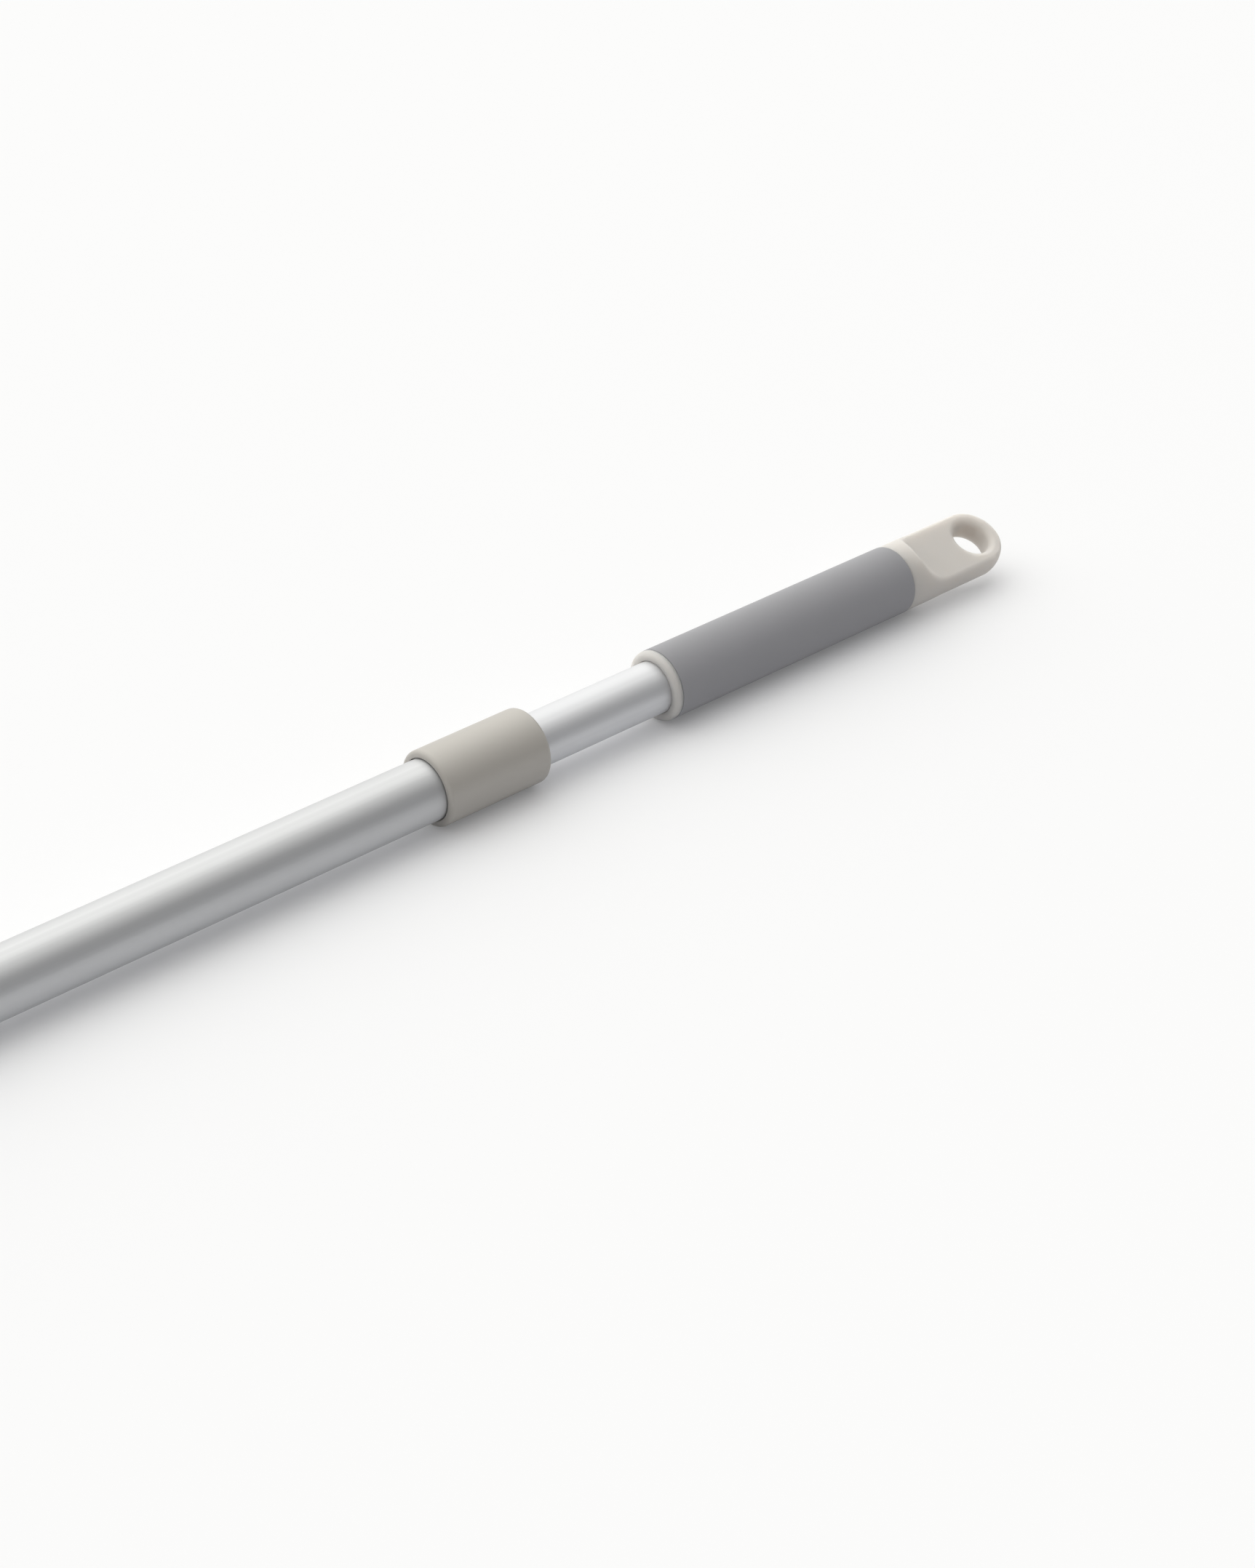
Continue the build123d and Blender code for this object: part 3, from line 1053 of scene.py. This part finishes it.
# ---------------------------------------------------------------- collar
@dataclass
class Collar:
    """The moulded collar over the outer tube's mouth, with its bush and wiper."""

    front_round: float = 2.0 * MM
    back_round: float = 1.8 * MM
    lip: float = 3.0 * MM
    mouth_gap: float = 0.35 * MM
    back_gap: float = 0.35 * MM
    back_gap_depth: float = 1.4 * MM
    mouth_round: float = 0.3 * MM

    def make(self) -> Piece:
        """Build the collar.

        Returns:
            The collar.
        """
        span = Span.of("lock_collar")
        seat = Span.of("lower_tube").radius
        mouth = Span.of("upper_tube").radius + self.mouth_gap
        shelf = span.start + self.back_gap_depth
        corners = [
            (span.start, span.radius, self.back_round),
            (span.end, span.radius, self.front_round),
            (span.end, mouth, self.mouth_round),
            (span.end - self.lip, mouth, 0.0),
            (span.end - self.lip, seat, 0.0),
            (shelf, seat, 0.0),
            (shelf, seat + self.back_gap, 0.0),
            (span.start, seat + self.back_gap, self.mouth_round),
        ]
        return turned("collar_moulding", corners)

    def build(self, finishes: FinishBook) -> None:
        """Build and dress the collar and what it holds."""
        dress(self.make(), Slot.COLLAR, Body.LOWER, finishes, ["lock_collar"])
        dress_node("guide_bush", Slot.LOCK, finishes)
        dress_node("wiper_ring", Slot.FELT, finishes)


# ---------------------------------------------------------------- lock
class TwistLock:
    """The eccentric lock inside the outer tube."""

    NODES = {
        "lock_plug": Slot.LOCK,
        "plug_pin": Slot.STEEL,
        "cam_ring": Slot.CAM,
        "thrust_washer": Slot.STEEL,
        "glide_ring": Slot.LOCK,
        "retaining_washer": Slot.STEEL,
        "lock_screw": Slot.STEEL,
    }

    def build(self, finishes: FinishBook) -> None:
        """Dress the lock's nodes."""
        for node, slot in self.NODES.items():
            dress_node(node, slot, finishes)


# ---------------------------------------------------------------- tool end
@dataclass
class ToolEnd:
    """The ferrule with its spigot, and the button that holds a tool."""

    shoulder_round: float = 1.8 * MM
    mouth_round: float = 0.6 * MM
    lead_in: float = 1.5 * MM
    spigot_radius: float = 9.5 * MM
    spigot_length: float = 58.0 * MM
    relief: float = 0.3 * MM
    land_margin: float = 2.5 * MM
    wall: float = 2.2 * MM
    nose_round: float = 0.2 * MM
    lead_round: float = 0.4 * MM
    edge_break: float = 0.1 * MM
    button_gap: float = 0.08 * MM
    button_round: float = 0.9 * MM
    flange_height: float = 0.8 * MM
    pin_gap: float = 0.04 * MM

    def make_ferrule(self) -> Piece:
        """Build the ferrule and spigot, with the holes for the button and both pins.

        Returns:
            The ferrule.
        """
        span = Span.of("tool_ferrule")
        seat = Span.of("lower_tube")
        button = Span.of("latch_button")
        pins = Span.of("ferrule_pins")
        shoulder = span.start + self.spigot_length
        land_end = button.middle - self.button_radius() - self.land_margin
        bore = self.spigot_radius - self.wall
        low = self.spigot_radius - self.relief
        corners = [
            (span.start, bore, 0.0),
            (span.start, self.spigot_radius - self.lead_in, self.nose_round),
            (span.start + self.lead_in, self.spigot_radius, self.lead_round),
            (land_end, self.spigot_radius, self.edge_break),
            (land_end, low, 0.0),
            (shoulder, low, 0.0),
            (shoulder, span.radius, self.shoulder_round),
            (span.end, span.radius, self.mouth_round),
            (span.end, seat.radius, 0.0),
            (seat.start, seat.radius, 0.0),
            (seat.start, bore, 0.0),
        ]
        ferrule = turned("tool_ferrule_moulding", corners)
        top = Vector((button.middle, 0.0, self.spigot_radius))
        hole = self.button_radius() + self.button_gap
        cut(ferrule, cross_cutter(top, UP, hole, 2 * self.wall + CUT_MARGIN))
        middle = POLE_AXIS * pins.middle
        through = 2 * span.radius + CUT_MARGIN
        cut(ferrule, cross_cutter(middle, ACROSS, pins.half + self.pin_gap, through))
        return ferrule

    @staticmethod
    def button_radius() -> float:
        """Read the button's radius from the points in its node's top quarter."""
        points = [point.co for point in frame["nodes"]["latch_button"].data.vertices]
        top = max(point.z for point in points)
        low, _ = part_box("latch_button")
        middle = Span.of("latch_button").middle
        upper = [point for point in points if point.z > (low.z + 3 * top) / 4]
        return max(hypot(point.x - middle, point.y) for point in upper)

    def make_button(self) -> Piece:
        """Build the button with its flange.

        Returns:
            The button.
        """
        low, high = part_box("latch_button")
        span = Span.of("latch_button")
        flange_top = low.z + self.flange_height
        radius = self.button_radius()
        corners = [
            (low.z, 0.0, 0.0),
            (low.z, span.half, self.edge_break),
            (flange_top, span.half, self.edge_break),
            (flange_top, radius, 0.0),
            (high.z, radius, self.button_round),
            (high.z, 0.0, 0.0),
        ]
        mesh = bmesh.new()
        turn(mesh, corners, SMALL_TURN_STEPS, closed=False)
        tilt(mesh, POLE_AXIS, UP)
        bmesh.ops.translate(mesh, verts=mesh.verts, vec=POLE_AXIS * span.middle)
        return as_object("button", mesh)

    @staticmethod
    def make_strip() -> Piece:
        """Copy the spring's node as a strip."""
        mesh = bmesh.new()
        mesh.from_mesh(frame["nodes"]["latch_spring"].data)
        close_up(mesh)
        return as_object("spring_strip", mesh)

    @staticmethod
    def close_with_button(strip: Piece) -> None:
        """Give the strip a mesh of its own; it does not close as the button goes in.

        Args:
            strip: The strip, which stands on the bottom of the spigot's bore.
        """
        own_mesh(strip)

    def build(self, finishes: FinishBook) -> None:
        """Build and dress the tool end."""
        dress(self.make_ferrule(), Slot.HANDLE, Body.LOWER, finishes, ["tool_ferrule"])
        dress(self.make_button(), Slot.STEEL, Body.BUTTON, finishes, ["latch_button"])
        dress_node("spigot_plug", Slot.HANDLE, finishes)
        dress_node("ferrule_pins", Slot.STEEL, finishes)
        strip = self.make_strip()
        dress(strip, Slot.STEEL, Body.LOWER, finishes, ["latch_spring"])
        self.close_with_button(strip)


# ---------------------------------------------------------------- studio
@dataclass
class Studio:
    """Floor, light and camera."""

    floor_color: Color = (0.718, 0.722, 0.742)
    floor_glow: float = 0.142
    floor_roughness: float = 0.8
    floor_shine: float = 0.1
    floor_size: float = 12.0
    white: float = 0.945
    ambient: Color = (0.118, 0.120, 0.127)
    box_tint: Color = (1.0, 0.99, 0.945)
    box_ends: Range = (0.97, 0.75)
    backdrop_edge: Range = (0.2, 0.5)
    box_profile: tuple[Range, ...] = (
        (20.0, 0.0),
        (40.0, 0.21),
        (60.0, 0.59),
        (80.0, 1.02),
        (100.0, 1.61),
        (120.0, 1.79),
        (140.0, 1.66),
        (160.0, 1.39),
        (180.0, 0.52),
    )
    camera_place: tuple[float, float, float] = (-0.8602, -0.7308, 0.5698)
    camera_turn: float = 42.049
    camera_pitch: float = 31.607
    lens: float = 65.35
    lens_shift: float = -0.0056
    sensor: float = 36.0
    far_clip: float = 50.0

    def make_floor(self) -> None:
        """Lay the pale floor that the pole rests on."""
        mesh = bmesh.new()
        level = min(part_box("lock_collar")[0].z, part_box("tool_ferrule")[0].z)
        place = Matrix.Translation(Vector((0.0, 0.0, level)))
        bmesh.ops.create_grid(
            mesh, x_segments=1, y_segments=1, size=self.floor_size / 2, matrix=place
        )
        floor = as_object("floor", mesh)
        material = bpy.data.materials.new("pale_floor")
        wiring = empty_tree(material)
        glow = wiring.math("MULTIPLY", self._seen_directly(wiring), self.floor_glow)
        shader = wiring.add(
            "ShaderNodeBsdfPrincipled",
            Base_Color=open_color(self.floor_color),
            Roughness=self.floor_roughness,
            Specular_IOR_Level=self.floor_shine,
            Emission_Color=open_color((1.0, 1.0, 1.0)),
            Emission_Strength=glow,
        )
        wiring.add("ShaderNodeOutputMaterial", Surface=shader.outputs["BSDF"])
        floor.data.materials.append(material)

    @staticmethod
    def _seen_directly(wiring: Wiring) -> Socket:
        """Tell whether a ray comes from the camera, a reflection or a clear piece."""
        path = wiring.add("ShaderNodeLightPath").outputs
        glossy = wiring.math("MAXIMUM", path["Is Camera Ray"], path["Is Glossy Ray"])
        return wiring.math("MAXIMUM", glossy, path["Is Transmission Ray"])

    def _box_level(self, wiring: Wiring, parts: bpy.types.bpy_prop_collection) -> Socket:
        """Give the soft box's level by the height angle that a ray points at.

        Args:
            wiring: The world's wiring.
            parts: The ray's direction along X, Y and Z.

        Returns:
            The level.
        """
        rise = wiring.math("MAXIMUM", parts["Z"], 0.0)
        towards_front = wiring.math("MULTIPLY", parts["Y"], -1.0)
        angle = wiring.math("ARCTAN2", rise, towards_front)
        ramp = wiring.add("ShaderNodeValToRGB", Fac=wiring.math("DIVIDE", angle, pi))
        stops = ramp.color_ramp.elements
        stops.remove(stops[-1])
        peak = max(level for _, level in self.box_profile)
        for number, (height, level) in enumerate(self.box_profile):
            share = height / HALF_TURN
            stop = stops.new(share) if number else stops[0]
            stop.position = share
            stop.color = open_color((level / peak,) * 3)
        return wiring.math("MULTIPLY", ramp.outputs["Color"], peak)

    def make_sky(self) -> None:
        """Light the pole with a long soft box above and behind it, in a dimmer white room."""
        world = bpy.data.worlds.new("studio")
        bpy.context.scene.world = world
        wiring = empty_tree(world)
        direction = wiring.add("ShaderNodeTexCoord").outputs["Generated"]
        parts = wiring.add("ShaderNodeSeparateXYZ", Vector=direction).outputs
        along = wiring.math("ABSOLUTE", parts["X"])
        ends = wiring.remap(along, self.box_ends, smooth=True)
        beam = wiring.math("MULTIPLY", self._box_level(wiring, parts), ends)
        level = wiring.vector("ADD", wiring.vector("SCALE", self.box_tint, beam), self.ambient)
        path = wiring.add("ShaderNodeLightPath").outputs
        backdrop = wiring.remap(parts["Y"], self.backdrop_edge, smooth=True)
        reflected = wiring.math("MULTIPLY", path["Is Glossy Ray"], backdrop)
        direct = wiring.math("MAXIMUM", path["Is Camera Ray"], path["Is Transmission Ray"])
        seen = wiring.math("MAXIMUM", direct, reflected)
        white = (self.white,) * 3
        brighter = wiring.vector("MAXIMUM", level, white)
        shown = wiring.blend(path["Is Camera Ray"], brighter, open_color(white))
        light = wiring.add("ShaderNodeBackground", Color=wiring.blend(seen, level, shown))
        wiring.add("ShaderNodeOutputWorld", Surface=light.outputs["Background"])

    def make_camera(self) -> None:
        """Set the camera at the photograph's view."""
        lens = bpy.data.cameras.new("camera")
        lens.lens = self.lens
        lens.sensor_width = self.sensor
        lens.shift_y = self.lens_shift
        lens.clip_end = self.far_clip
        camera = bpy.data.objects.new("camera", lens)
        camera.location = self.camera_place
        pitch = radians(RIGHT_ANGLE - self.camera_pitch)
        camera.rotation_euler = (pitch, 0.0, radians(-self.camera_turn))
        bpy.context.scene.collection.objects.link(camera)
        bpy.context.scene.camera = camera

    def build(self) -> None:
        """Build the whole studio."""
        self.make_camera()
        self.make_floor()
        self.make_sky()
        bpy.context.scene.view_settings.view_transform = "Standard"


def main() -> None:
    """Build the pole's sub-assemblies in order, then the studio."""
    logging.basicConfig(level=logging.INFO, format="%(name)s: %(message)s")
    finishes = FinishBook()
    Handle().build(finishes)
    Tubes().build(finishes)
    Collar().build(finishes)
    TwistLock().build(finishes)
    ToolEnd().build(finishes)
    Studio().build()


if __name__ == "__main__":
    main()
